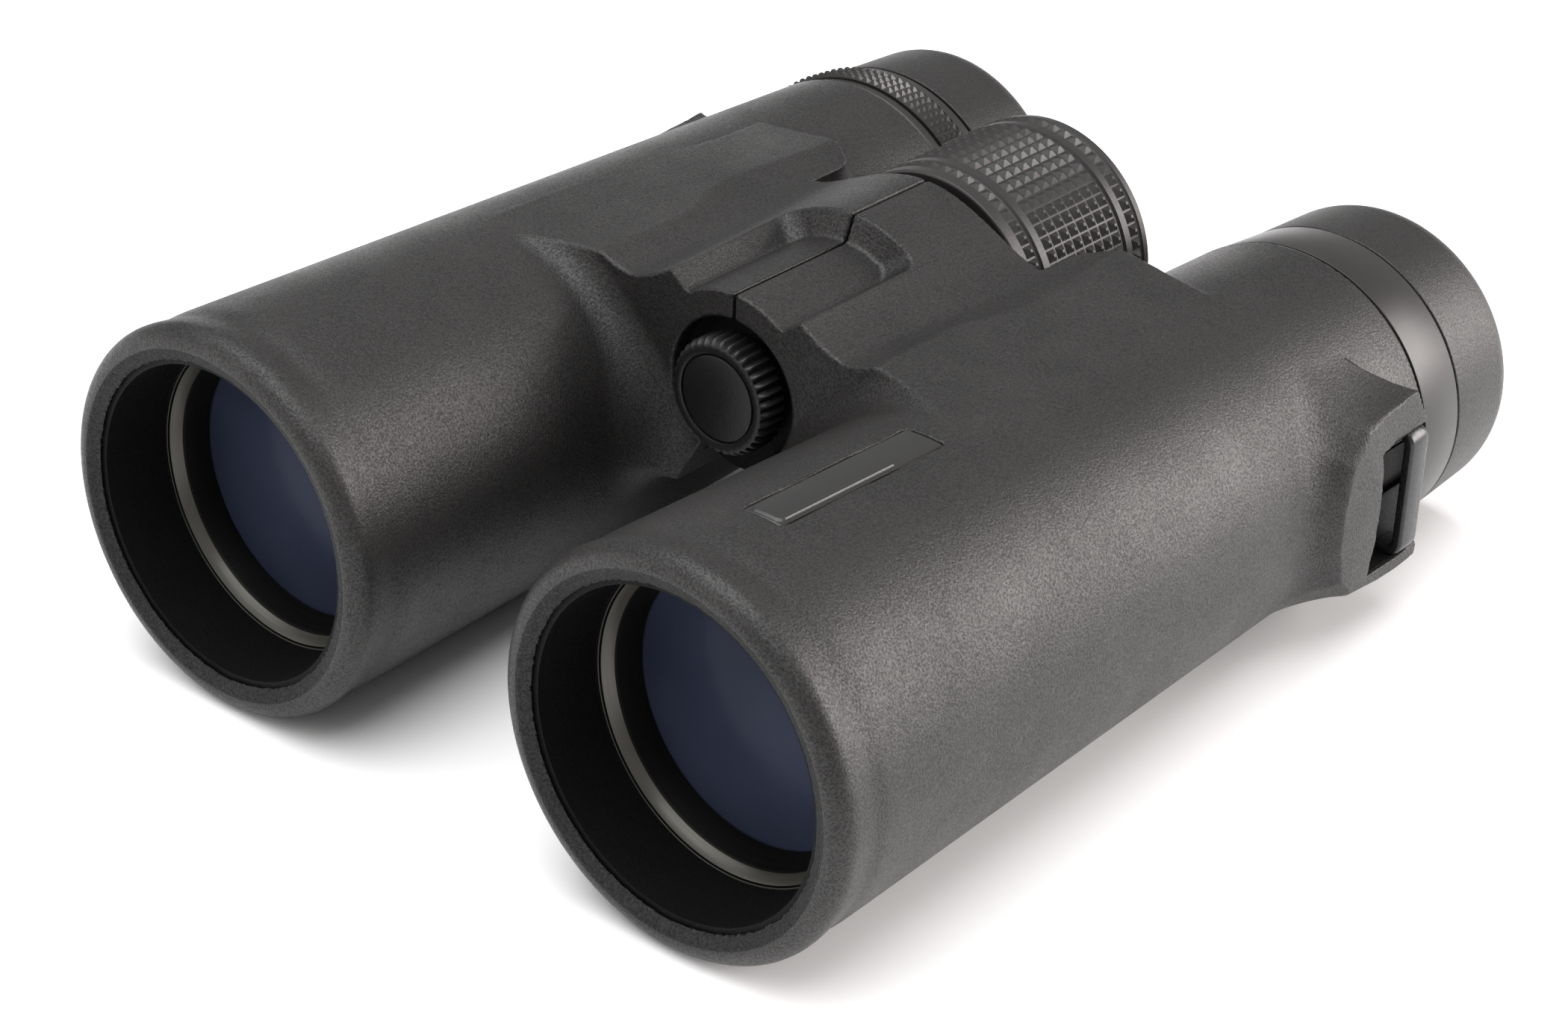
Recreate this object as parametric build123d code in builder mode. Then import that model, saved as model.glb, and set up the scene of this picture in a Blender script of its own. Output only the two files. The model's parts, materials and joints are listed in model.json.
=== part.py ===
"""Roof-prism binoculars, 10 x 42 class, with a split closed bridge and one folding hinge.

Frame: +Y runs along the optical axes from the objectives to the eyepieces, +X is to the right
of someone who looks along +Y, and +Z is up. The origin is the centre of the bounding box's
footprint, so z = 0 is the lowest line of the two objective rims. Stations along the barrels
are given as distances behind the plane of the objective rims.
"""

from math import atan2, degrees, hypot, sqrt
import os

from build123d import *

# Driving dimensions, mm
length = 147.1              # objective rims to eyecup ends, eyecups down
half_ipd = 38.0             # half the distance between the barrel axes, fully open
hinge_rise = 13.2           # hinge axis above the plane of the barrel axes
rim_radius = 26.3
armour_end = 123.4          # station where the armour stops
armour_end_radius = 22.3
armour_wall = 1.9
glue_gap = 0.05
lip = 2.9                   # rounding of the rim's outer edge
mouth_radius = 21.14
running = 0.05              # radial clearance of a running fit
seam = 0.15                 # half the width of the seam between the two halves

# Bridge and hinge stations and radii
bridge_front = 53.7
bridge_end = 91.6
deck_end = 102.5
bump_radius = 17.2          # top of the bridge, round about the hinge axis
core_radius = 12.6          # inside of the bridge covers
knuckle_radius = 12.2
cap_well_radius = 9.94
shaft_radius = 6.0
bush_wall = 0.95
left_knuckles = [(56.5, 61.5), (87.2, 91.5)]
right_knuckles = [(61.8, 66.8), (82.8, 86.9)]

# Focusing gear
wheel_start = 93.4
wheel_end = 120.6
wheel_radius = 17.24
wheel_clearance = 0.66
carriage = 74.7             # station of the focusing carriage at mid travel
focus_travel = 3.5
screw_radius = 2.0
pin_radius = 1.0
groove_floor = 7.8

# Optics
cell_station = 11.0         # front of the objective retaining ring
cell_radius = 20.85         # outside of the objective cell and its retaining ring
lens_radius = 20.3
focus_cell_radius = 16.0
small_lens_radius = 13.95   # focusing, field and eye lenses
chamber_radius = 19.3
cage_radius = 19.2
cage_front = 87.3
cage_end = 113.0
prism_half_width = 10.0
eye_tube_radius = 18.2
ocular_radius = 15.5
ocular_front = 116.0
ocular_end = 139.0

# Lens shapes: front apex, sag of the front face, rear apex, sag of the rear face
crown_shape = (14.4, 2.08, 21.4, -2.8)
flint_shape = (21.42, -2.8, 24.0, -0.4)
focus_lens_shape = (73.4, -1.1, 75.6, 1.3)
field_lens_shape = (117.5, 1.2, 124.2, -1.2)
eye_lens_shape = (129.2, 1.2, 137.2, -2.0)

# Eyepiece end
collar_start = 123.6
collar_end = 133.0
collar_front_radius = 22.17
collar_rear_radius = 21.35
cup_start = 133.3
cup_sleeve_radius = 20.0
diopter_travel = 1.5
diopter_pin_station = 128.0
diopter_pin_radius = 0.8
tube_front = 114.2
tube_flange_end = 123.45
tube_end = 145.0

front = -length / 2
axis_height = rim_radius
hinge_height = axis_height + hinge_rise
hinge_to_barrel = hypot(half_ipd, hinge_rise)

os.makedirs("parts", exist_ok=True)


def save(piece, label):
    """Label a finished piece and write it to its own STEP file."""
    piece.part.label = label
    export_step(piece.part, f"parts/{label}.step")


def armour_radius(station):
    return rim_radius - (rim_radius - armour_end_radius) * station / armour_end


def casting_radius(station):
    return armour_radius(station) - armour_wall - glue_gap


def barrel(side):
    """Plane for profiles about a barrel axis: local x is the radius, local y the station."""
    return Plane(origin=(side * half_ipd, front, axis_height))


hinge = Plane(origin=(0, front, hinge_height))


def cross_section(station, x=0.0, z=axis_height):
    """Plane across the barrels: local x is +X, local y is +Z, and extrusion runs forward."""
    return Plane(origin=(x, front + station, z), x_dir=(1, 0, 0), z_dir=(0, -1, 0))


def hinge_section(station):
    return cross_section(station, 0.0, hinge_height)


def barrel_section(side, station):
    return cross_section(station, side * half_ipd)


def turn(plane, outline, mode=Mode.ADD):
    """Turn a closed outline of (radius, station) points about the plane's axis."""
    with BuildSketch(plane) as profile:
        with BuildLine():
            Polyline(*outline, close=True)
        make_face()
    revolve(profile.sketch, axis=Axis(plane.origin, (0, 1, 0)), mode=mode)


def block(plane, points, depth, mode=Mode.ADD):
    """Extrude a polygon forward from a plane across the barrels."""
    with BuildSketch(plane) as profile:
        with BuildLine():
            Polyline(*points, close=True)
        make_face()
    extrude(profile.sketch, amount=depth, mode=mode)


def toward_barrel(side, distance, offset):
    """Point in a hinge section, at a distance from the hinge axis towards the barrel axis."""
    across = half_ipd / hinge_to_barrel
    down = hinge_rise / hinge_to_barrel
    return (side * (distance * across + offset * down), offset * across - distance * down)


def web(side, start, end, near, far, half_thickness, mode=Mode.ADD):
    """Straight bar that runs from the hinge towards a barrel, between two stations."""
    corners = [toward_barrel(side, near, -half_thickness), toward_barrel(side, far, -half_thickness),
               toward_barrel(side, far, half_thickness), toward_barrel(side, near, half_thickness)]
    block(hinge_section(end), corners, end - start, mode)


def ring(plane, inner, outer, start, end, mode=Mode.ADD):
    turn(plane, [(inner, start), (outer, start), (outer, end), (inner, end)], mode)


def lens(plane, radius, front_apex, front_sag, rear_apex, rear_sag):
    """Lens with spherical faces: each sag is the edge's station less the apex's."""
    def halfway(sag):
        curvature = (radius * radius + sag * sag) / (2 * abs(sag))
        depth = curvature - sqrt(curvature * curvature - radius * radius / 4)
        return depth if sag > 0 else -depth

    with BuildPart() as glass:
        with BuildSketch(plane) as profile:
            with BuildLine():
                Line((0, rear_apex), (0, front_apex))
                ThreePointArc((0, front_apex), (radius / 2, front_apex + halfway(front_sag)),
                              (radius, front_apex + front_sag))
                Line((radius, front_apex + front_sag), (radius, rear_apex + rear_sag))
                ThreePointArc((radius, rear_apex + rear_sag),
                              (radius / 2, rear_apex + halfway(rear_sag)), (0, rear_apex))
            make_face()
        revolve(profile.sketch, axis=Axis(plane.origin, (0, 1, 0)))
    return glass


# The thumb recess in the deck: a groove, open to the front, with sloping walls and rounded
# rear corners, whose floor is round about the hinge axis.
recess_floor_radius = 13.7
recess_bottom = 24.0        # height above the barrel axes where the lower outline is drawn
recess_bottom_width = 7.2
recess_bottom_end = 74.6
recess_top = 32.0
recess_side_slope = 1.28
recess_end_slope = 0.36
recess_corner = 2.6
recess_front = 40.0

with BuildPart() as recess_cutter:
    for height in (recess_bottom, recess_top):
        side = recess_bottom_width + (height - recess_bottom) * recess_side_slope
        end = recess_bottom_end + (height - recess_bottom) * recess_end_slope
        bend = end - recess_corner
        across = side - recess_corner
        middle = recess_corner * sqrt(0.5)
        with BuildSketch(Plane(origin=(0, front, axis_height + height))):
            with BuildLine():
                Line((-side, recess_front), (-side, bend))
                ThreePointArc((-side, bend), (-across - middle, bend + middle), (-across, end))
                Line((-across, end), (across, end))
                ThreePointArc((across, end), (across + middle, bend + middle), (side, bend))
                Line((side, bend), (side, recess_front))
                Line((side, recess_front), (-side, recess_front))
            make_face()
    loft()
    ring(hinge, 0, recess_floor_radius, 30, 100, Mode.SUBTRACT)

# The strap lug: a pad on the outer side of each barrel with a flat outer face and a pocket
# that is open to the rear, bridged by a metal bar. Points are (station, height).
lug_face = 62.0             # distance of the flat face from the middle of the object
lug_outline = [(117.2, 12.8), (110.5, 12.0), (105.6, 10.6), (102.5, 7.1), (101.2, 2.4),
               (101.2, -3.2), (102.6, -8.6), (105.1, -11.6), (111.5, -12.5), (120.8, -13.0),
               (121.6, 4.0), (120.6, 8.6)]
lug_rear = 121.2
lug_root = 50.0             # distance of the lug's root, buried in the barrel
lug_flare = 1.6             # how much longer the root is than the pad
lug_spread = 1.3            # how much taller the root is than the pad
pocket_floor = 59.2
pocket = [(108.6, 7.0), (124.0, 7.6), (124.0, -11.2), (108.6, -11.2)]


lug_root_outline = []
for y, z in lug_outline:
    root_y = lug_rear - (lug_rear - y) * lug_flare if y < 118 else y
    lug_root_outline.append((root_y, z * lug_spread))


def lug_plane(x):
    """Plane facing outward at a given x: local x is the station, local y is the height."""
    return Plane(origin=(x, front, axis_height), x_dir=(0, 1, 0), z_dir=(1, 0, 0))


def nameplate_shell(margin, depth, proud):
    """A curved patch of the left barrel's top, where the blank nameplate sits."""
    start, end = plate_start - margin, plate_end + margin
    turn(barrel(1), [(armour_radius(10) - depth, 10), (armour_radius(10) + proud, 10),
                     (armour_radius(50) + proud, 50), (armour_radius(50) - depth, 50)])
    with BuildSketch(Plane(origin=(half_ipd, front, axis_height))) as patch:
        with Locations((plate_offset, (start + end) / 2)):
            Rectangle(plate_width + 2 * margin, end - start)
    extrude(patch.sketch, amount=rim_radius + 2, mode=Mode.INTERSECT)


plate_start = 15.7
plate_end = 44.9
plate_width = 5.6
plate_offset = -0.2
plate_pocket_depth = 0.6

with BuildPart() as nameplate:
    nameplate_shell(0.0, plate_pocket_depth - 0.05, 0.0)
save(nameplate, "nameplate")

with BuildPart() as nameplate_cutter:
    nameplate_shell(0.1, plate_pocket_depth, 2.0)


def barrel_skin(side):
    """Outer shape of the armour round one barrel, solid, with its rounded lip."""
    tangent = lip * (1 - sqrt(0.5))
    with BuildSketch(barrel(side)) as profile:
        with BuildLine():
            Line((0, 0), (rim_radius - lip, 0))
            ThreePointArc((rim_radius - lip, 0), (rim_radius - tangent, tangent),
                          (armour_radius(lip), lip))
            Line((armour_radius(lip), lip), (armour_end_radius, armour_end))
            Line((armour_end_radius, armour_end), (0, armour_end))
            Line((0, armour_end), (0, 0))
        make_face()
    revolve(profile.sketch, axis=Axis(barrel(side).origin, (0, 1, 0)))


# Bridge deck of one half across the barrels, (distance from the middle, height), and the
# region beyond the parting line, seen from the hinge axis: the line is upright above the
# hinge and leans outward below it, so that the barrels can fold.
deck = [(8.0, 26.0), (14.5, 24.8), (18.5, 23.9), (20.3, 24.1), (23.7, 25.0), (30.0, 24.3),
        (36.0, 23.9), (38.0, 23.6), (38.0, 2.0), (16.0, 2.0), (9.5, 6.0)]
parting = [(seam, 60.0), (seam, 0.0), (18.8, -35.3), (-60.0, -60.0), (-60.0, 60.0)]
deck_wheel_room = 21.6


def armour(side, knuckles):
    """Rubber-covered half shell: one barrel with its half of the bridge deck and its lug."""
    with BuildPart() as skin:
        block(cross_section(deck_end), [(side * x, z) for x, z in deck], deck_end - bridge_front)
        ring(hinge, 0, deck_wheel_room, bridge_end, deck_end + 1, Mode.SUBTRACT)
        ring(hinge, 0, bump_radius, bridge_front, bridge_end)
        add(recess_cutter.part, mode=Mode.SUBTRACT)
        block(hinge_section(deck_end + 1), [(side * x, z) for x, z in parting],
              deck_end, Mode.SUBTRACT)
        barrel_skin(side)
        with BuildSketch(lug_plane(side * lug_face)) as outer:
            with BuildLine():
                Polyline(*lug_outline, close=True)
            make_face()
        with BuildSketch(lug_plane(side * lug_root)) as inner:
            with BuildLine():
                Polyline(*lug_root_outline, close=True)
            make_face()
        loft([outer.sketch.face(), inner.sketch.face()])
        with BuildSketch(lug_plane(side * 70.0)) as hollow:
            with BuildLine():
                Polyline(*pocket, close=True)
            make_face()
        extrude(hollow.sketch, amount=-side * (70.0 - pocket_floor), mode=Mode.SUBTRACT)
        ring(hinge, 0, core_radius, bridge_front + 2.5, bridge_end + 1, Mode.SUBTRACT)
        ring(hinge, 0, cap_well_radius, bridge_front - 10, bridge_end, Mode.SUBTRACT)
        ring(hinge, 0, wheel_radius + wheel_clearance, bridge_end + 0.6, wheel_end + 1.2,
             Mode.SUBTRACT)
        turn(barrel(side), [(0, -1), (23.2, -1), (23.2, 0), (mouth_radius, 1.0),
                            (mouth_radius, 1.3), (armour_radius(1.3) - armour_wall, 1.3),
                            (armour_end_radius - armour_wall, armour_end),
                            (armour_end_radius - armour_wall, armour_end + 2),
                            (0, armour_end + 2)], Mode.SUBTRACT)
        for start, end in knuckles:
            web(side, start - 0.2, end + 0.2, 10.0, 22.0, 5.2, Mode.SUBTRACT)
        web(side, 68.4, 81.0, 10.0, 25.0, 2.6, Mode.SUBTRACT)
        if side > 0:
            add(nameplate_cutter.part, mode=Mode.SUBTRACT)
    return skin


def casting(side, knuckles, knuckle_bore):
    """Magnesium barrel tube with its hinge knuckles."""
    with BuildPart() as tube:
        turn(barrel(side), [(mouth_radius, 1.35), (casting_radius(1.35), 1.35),
                            (casting_radius(armour_end), armour_end), (chamber_radius, armour_end),
                            (chamber_radius, 87.0), (focus_cell_radius + 0.1, 87.0),
                            (focus_cell_radius + 0.1, 62.0), (chamber_radius, 62.0),
                            (chamber_radius, 32.0), (cell_radius + running, 32.0),
                            (cell_radius + running, cell_station), (mouth_radius, cell_station)])
        for start, end in knuckles:
            ring(hinge, knuckle_bore, knuckle_radius, start, end)
            web(side, start, end, 10.0, 19.8, 5.0)
            ring(hinge, 0, knuckle_bore, start - 0.1, end + 0.1, Mode.SUBTRACT)
        web(side, 68.6, 80.8, 18.0, 25.0, 2.4, Mode.SUBTRACT)
    return tube


def objective_cell(side):
    with BuildPart() as cell:
        turn(barrel(side), [(lens_radius + 0.05, 15.95), (cell_radius, 15.95), (cell_radius, 30.0),
                            (19.0, 30.0), (19.0, 24.1), (lens_radius + 0.05, 24.1)])
    return cell


def objective_retainer(side):
    with BuildPart() as retainer:
        turn(barrel(side), [(cell_radius, cell_station), (19.75, cell_station + 1.0),
                            (17.95, 15.85), (cell_radius, 15.85)])
    return retainer


def objective_seal(side):
    with BuildPart() as seal:
        with BuildSketch(barrel(side)) as profile:
            with Locations((20.0, 31.0)):
                Circle(0.82)
        revolve(profile.sketch, axis=Axis(barrel(side).origin, (0, 1, 0)))
    return seal


def prism_cage(side):
    with BuildPart() as cage:
        ring(barrel(side), 0, cage_radius, cage_front, cage_end)
        room = prism_half_width + 0.2
        block(barrel_section(side, cage_end + 1),
              [(-room, -11.0), (room, -11.0), (room, 14.4), (-room, 14.4)],
              cage_end - cage_front - 0.2, Mode.SUBTRACT)
        ring(barrel(side), 0, 8.5, 87.0, 89.0, Mode.SUBTRACT)
    return cage


def side_plane(side):
    """Plane along a barrel's axis: local x is the station, local y is the height."""
    return Plane(origin=(side * half_ipd, front, axis_height), x_dir=(0, 1, 0), z_dir=(1, 0, 0))


def half_penta_prism(side):
    with BuildPart() as prism:
        with BuildSketch(side_plane(side)):
            with BuildLine():
                Polyline((88.8, -10.5), (88.8, 10.5), (93.0, 10.5), (108.5, -5.0), (103.0, -10.5),
                         close=True)
            make_face()
        extrude(amount=prism_half_width, both=True)
    return prism


def roof_prism(side):
    with BuildPart() as prism:
        with BuildSketch(side_plane(side)):
            with BuildLine():
                Polyline((93.8, 10.5), (109.3, -5.0), (112.4, -5.0), (112.4, 14.0), (97.3, 14.0),
                         close=True)
            make_face()
        extrude(amount=prism_half_width, both=True)
        for hand in (-1, 1):
            block(barrel_section(side, 114.0), [(0, 14.0), (hand * 11.0, 3.0), (hand * 11.0, 20.0),
                                                (0, 20.0)], 30.0, Mode.SUBTRACT)
    return prism


def focus_cell(side):
    with BuildPart() as cell:
        ring(barrel(side), 14.0, focus_cell_radius, carriage - 4.0, carriage + 4.0)
    return cell


def eyepiece_tube(side):
    """Tube that screws into the barrel and carries the ocular and the eyecup."""
    with BuildPart() as tube:
        turn(barrel(side), [(ocular_radius + running, tube_front), (19.25, tube_front),
                            (19.25, tube_flange_end), (eye_tube_radius, tube_flange_end),
                            (eye_tube_radius, 133.2), (17.2, 133.2),
                            (17.2, tube_end), (ocular_radius + running, tube_end)])
        if side < 0:
            with BuildSketch(Plane(origin=(side * half_ipd, front, axis_height))) as slot:
                with Locations((0, diopter_pin_station)):
                    SlotOverall(2 * diopter_travel + 1.8, 1.8, rotation=90)
            extrude(slot.sketch, amount=20.0, mode=Mode.SUBTRACT)
    return tube


def ocular_cell(side):
    with BuildPart() as cell:
        turn(barrel(side), [(14.0, ocular_front), (ocular_radius, ocular_front),
                            (ocular_radius, ocular_end), (12.2, ocular_end), (12.2, 137.3),
                            (14.0, 137.3)])
        if side < 0:
            with BuildSketch(Plane(origin=(side * half_ipd, front, axis_height))) as hole:
                with Locations((0, diopter_pin_station)):
                    Circle(diopter_pin_radius + 0.02)
            extrude(hole.sketch, amount=20.0, mode=Mode.SUBTRACT)
    return cell


def ocular_rings(side):
    """Threaded retaining ring ahead of the field lens, and the spacer behind it."""
    with BuildPart() as rings:
        ring(barrel(side), 12.5, small_lens_radius, 116.2, 117.4)
        ring(barrel(side), 12.6, small_lens_radius, 123.3, 130.1)
    return rings


def eyecup_detent_ring(side):
    with BuildPart() as detent:
        ring(barrel(side), 17.2 + running, 18.3, 134.5, 137.0)
    return detent


def eyecup_sleeve(side):
    with BuildPart() as sleeve:
        turn(barrel(side), [(18.38, cup_start), (cup_sleeve_radius, cup_start),
                            (cup_sleeve_radius, 146.2), (14.2, 146.2),
                            (14.2, 145.4), (18.38, 145.4)])
    return sleeve


def eyecup_rubber(side):
    """Soft cover of the eyecup, which wraps over its rear edge to the inside."""
    with BuildPart() as cover:
        bonded = cup_sleeve_radius + glue_gap
        turn(barrel(side), [(bonded, cup_start), (21.33, cup_start), (20.68, 145.4), (20.2, 146.6),
                            (19.3, length), (14.4, length), (13.4, 146.4), (13.4, 144.8),
                            (14.15, 144.8), (14.15, 146.25), (bonded, 146.25)])
    return cover


def strap_bar(side):
    """Bent metal strip that bridges the pocket of the lug, with a leg at each end."""
    outline = [(pocket_floor + 0.05, -10.9), (62.6, -10.9), (62.6, 6.3), (61.8, 6.9),
               (pocket_floor + 0.05, 6.9), (pocket_floor + 0.05, 5.3), (61.0, 5.3),
               (61.0, -9.3), (pocket_floor + 0.05, -9.3)]
    with BuildPart() as bar:
        block(cross_section(119.3), [(side * x, z) for x, z in outline], 4.0)
    return bar


halves = [("left", 1, left_knuckles, shaft_radius + 0.02),
          ("right", -1, right_knuckles, shaft_radius + running + bush_wall + 0.02)]
for half, side, knuckles, knuckle_bore in halves:
    axis_plane = barrel(side)
    save(armour(side, knuckles), f"{half}_armour")
    save(casting(side, knuckles, knuckle_bore), f"{half}_barrel_casting")
    save(objective_cell(side), f"{half}_objective_cell")
    save(objective_retainer(side), f"{half}_objective_retainer")
    save(objective_seal(side), f"{half}_objective_seal")
    save(lens(axis_plane, lens_radius, *crown_shape), f"{half}_objective_crown_lens")
    save(lens(axis_plane, lens_radius, *flint_shape), f"{half}_objective_flint_lens")
    save(focus_cell(side), f"{half}_focus_cell")
    save(lens(axis_plane, small_lens_radius, *focus_lens_shape), f"{half}_focus_lens")
    save(prism_cage(side), f"{half}_prism_cage")
    save(half_penta_prism(side), f"{half}_half_penta_prism")
    save(roof_prism(side), f"{half}_roof_prism")
    save(eyepiece_tube(side), f"{half}_eyepiece_tube")
    save(ocular_cell(side), f"{half}_ocular_cell")
    save(lens(axis_plane, small_lens_radius, *field_lens_shape), f"{half}_field_lens")
    save(ocular_rings(side), f"{half}_ocular_rings")
    save(lens(axis_plane, small_lens_radius, *eye_lens_shape), f"{half}_eye_lens")
    save(eyecup_detent_ring(side), f"{half}_eyecup_detent_ring")
    save(eyecup_sleeve(side), f"{half}_eyecup_sleeve")
    save(eyecup_rubber(side), f"{half}_eyecup_rubber")
    save(strap_bar(side), f"{half}_strap_bar")

with BuildPart() as left_collar:
    turn(barrel(1), [(eye_tube_radius + running, collar_start), (collar_front_radius, collar_start),
                     (collar_rear_radius, collar_end), (eye_tube_radius + running, collar_end)])
save(left_collar, "left_eyepiece_collar")

diopter_bore = eye_tube_radius + 0.07
with BuildPart() as diopter_ring:
    turn(barrel(-1), [(diopter_bore, collar_start), (collar_front_radius, collar_start),
                      (collar_rear_radius, collar_end), (diopter_bore, collar_end),
                      (diopter_bore, 130.9), (19.7, 130.9), (19.7, 125.1), (diopter_bore, 125.1)])
save(diopter_ring, "diopter_ring")

with BuildPart() as diopter_pin:
    with BuildSketch(Plane(origin=(-half_ipd, front, axis_height + 14.05))):
        with Locations((0, diopter_pin_station)):
            Circle(diopter_pin_radius)
    extrude(amount=19.4 - 14.05)
save(diopter_pin, "diopter_pin")

with BuildPart() as hinge_shaft:
    turn(hinge, [(4.8, 56.0), (shaft_radius, 56.0), (shaft_radius, 92.0), (4.0, 92.0), (4.0, 66.0),
                 (4.8, 66.0)])
    with BuildSketch(Plane(origin=(0, front, hinge_height))):
        with Locations((0, carriage)):
            SlotOverall(2 * (focus_travel + pin_radius) + 0.6, 2 * pin_radius + 0.3, rotation=90)
    extrude(amount=10.0, both=True, mode=Mode.SUBTRACT)
save(hinge_shaft, "hinge_shaft")

# A sheet cover, open at the top, closes the hinge's underside between the knuckles. It leaves
# room for the swing of the right arm on one side and for the left arm on the other.
with BuildPart() as hinge_cover:
    with BuildSketch(hinge_section(82.5)):
        with BuildLine():
            inner_edge = CenterArc((0, 0), 11.7, 263.0, 67.0)
            outer_edge = CenterArc((0, 0), 12.3, 263.0, 67.0)
            Line(inner_edge @ 0, outer_edge @ 0)
            Line(inner_edge @ 1, outer_edge @ 1)
        make_face()
    extrude(amount=82.5 - 67.1)
save(hinge_cover, "hinge_cover")

bush_inner = shaft_radius + running
with BuildPart() as hinge_bushes:
    for start, end in right_knuckles:
        ring(hinge, bush_inner, bush_inner + bush_wall, start, end)
save(hinge_bushes, "hinge_bushes")

with BuildPart() as tripod_socket:
    ring(hinge, 2.6, 4.78, 58.4, 65.8)
save(tripod_socket, "tripod_socket")

cap_front = 50.97
cap_flutes = 36
with BuildPart() as tripod_cap:
    turn(hinge, [(0, cap_front + 0.05), (5.7, cap_front + 0.05), (5.7, cap_front + 0.5),
                 (6.1, cap_front + 0.5), (6.1, cap_front), (7.5, cap_front),
                 (7.95, cap_front + 0.5), (7.95, 55.7), (4.72, 55.7), (4.72, 58.2), (0, 58.2)])
    with BuildSketch(hinge_section(55.2)):
        with PolarLocations(8.15, cap_flutes):
            Circle(0.45)
    extrude(amount=10.0, mode=Mode.SUBTRACT)
save(tripod_cap, "tripod_cap")

with BuildPart() as focus_screw:
    turn(hinge, [(0, 69.0), (screw_radius, 69.0), (screw_radius, 85.0), (3.95, 85.0), (3.95, 91.0),
                 (screw_radius, 91.0), (screw_radius, 113.0), (1.25, 113.0), (1.25, 104.0),
                 (0, 104.0)])
save(focus_screw, "focus_screw")

with BuildPart() as focus_nut:
    ring(hinge, screw_radius + 0.06, 3.92, carriage - 3.0, carriage + 3.0)
    with BuildSketch(Plane(origin=(0, front, hinge_height))):
        with Locations((0, carriage)):
            Circle(pin_radius + 0.02)
    extrude(amount=10.0, both=True, mode=Mode.SUBTRACT)
save(focus_nut, "focus_nut")

with BuildPart() as focus_pins:
    for end in (-1, 1):
        with BuildSketch(Plane(origin=(0, front, hinge_height + end * 2.4))) as pin:
            with Locations((0, carriage)):
                Circle(pin_radius)
        extrude(pin.sketch, amount=end * (groove_floor - 0.1 - 2.4))
save(focus_pins, "focus_pins")

arm_end = hinge_to_barrel - focus_cell_radius - 0.05
with BuildPart() as focus_slider:
    turn(hinge, [(6.07, carriage - 3.5), (9.8, carriage - 3.5), (9.8, carriage - 1.2),
                 (groove_floor, carriage - 1.2), (groove_floor, carriage + 1.2),
                 (9.8, carriage + 1.2), (9.8, carriage + 3.5), (6.07, carriage + 3.5)])
    web(1, carriage - 1.7, carriage + 1.7, 8.6, arm_end, 1.8)
    with BuildSketch(Plane(origin=(0, front, hinge_height))):
        with Locations((0, carriage)):
            Circle(pin_radius + 0.02)
    extrude(amount=groove_floor + 0.1, both=True, mode=Mode.SUBTRACT)
save(focus_slider, "focus_slider")

fork_half_angle = 28.0
fork_direction = 180.0 + degrees(atan2(hinge_rise, half_ipd))
with BuildPart() as right_focus_fork:
    with BuildSketch(hinge_section(carriage + 1.0)):
        with BuildLine():
            outer_arc = CenterArc((0, 0), 11.5, fork_direction - fork_half_angle, 2 * fork_half_angle)
            inner_arc = CenterArc((0, 0), 8.0, fork_direction - fork_half_angle, 2 * fork_half_angle)
            Line(outer_arc @ 0, inner_arc @ 0)
            Line(outer_arc @ 1, inner_arc @ 1)
        make_face()
    extrude(amount=2.0)
    web(-1, carriage - 1.0, carriage + 1.0, 10.5, arm_end, 1.8)
save(right_focus_fork, "right_focus_fork")

with BuildPart() as focus_wheel_hub:
    turn(hinge, [(screw_radius + 0.03, 96.0), (12.4, 96.0), (12.4, 93.6), (14.5, 93.6),
                 (14.5, 120.2), (12.6, 120.2), (12.6, 99.2), (4.5, 99.2), (4.5, 113.0),
                 (screw_radius + 0.03, 113.0)])
save(focus_wheel_hub, "focus_wheel_hub")

with BuildPart() as focus_wheel_grip:
    ring(hinge, 14.55, wheel_radius, wheel_start, wheel_end)
save(focus_wheel_grip, "focus_wheel_grip")

with BuildPart() as focus_wheel_cover:
    ring(hinge, 0, 12.55, 117.4, 120.2)
save(focus_wheel_cover, "focus_wheel_cover")

with BuildPart() as focus_wheel_screw:
    turn(hinge, [(0, 105.0), (1.2, 105.0), (1.2, 113.05), (3.0, 113.05), (3.0, 115.2), (0, 115.2)])
save(focus_wheel_screw, "focus_wheel_screw")
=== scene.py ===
"""Looks of the 10 x 42 roof-prism binoculars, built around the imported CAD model.

Lengths inside this script are millimetres in "barrel space": x across from the middle plane,
s the station behind the objective rims, z the height above the plane of the barrel axes.
place() turns them into metres in the frame of the CAD model.
"""

import json
import math
from itertools import product

import bpy
import numpy as np
from mathutils import Matrix, Vector


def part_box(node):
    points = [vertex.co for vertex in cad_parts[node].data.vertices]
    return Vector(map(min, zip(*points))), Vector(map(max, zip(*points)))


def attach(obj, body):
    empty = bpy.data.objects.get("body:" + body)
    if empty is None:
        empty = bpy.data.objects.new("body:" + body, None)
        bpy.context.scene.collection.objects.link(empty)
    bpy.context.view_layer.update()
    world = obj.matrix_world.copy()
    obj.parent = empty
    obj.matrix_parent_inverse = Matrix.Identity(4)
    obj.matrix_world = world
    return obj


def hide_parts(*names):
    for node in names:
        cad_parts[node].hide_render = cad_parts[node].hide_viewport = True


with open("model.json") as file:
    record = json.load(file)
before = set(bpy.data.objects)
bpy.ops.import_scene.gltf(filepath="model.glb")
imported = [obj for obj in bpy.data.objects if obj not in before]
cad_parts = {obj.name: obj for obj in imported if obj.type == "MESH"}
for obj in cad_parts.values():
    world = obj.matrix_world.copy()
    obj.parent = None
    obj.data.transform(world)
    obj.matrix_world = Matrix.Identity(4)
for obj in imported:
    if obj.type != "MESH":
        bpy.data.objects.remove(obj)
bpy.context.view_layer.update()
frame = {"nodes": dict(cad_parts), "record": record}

# ---------------------------------------------------------------- places, from the frame
MM = 0.001
armour_low, armour_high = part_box("left_armour")
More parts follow.
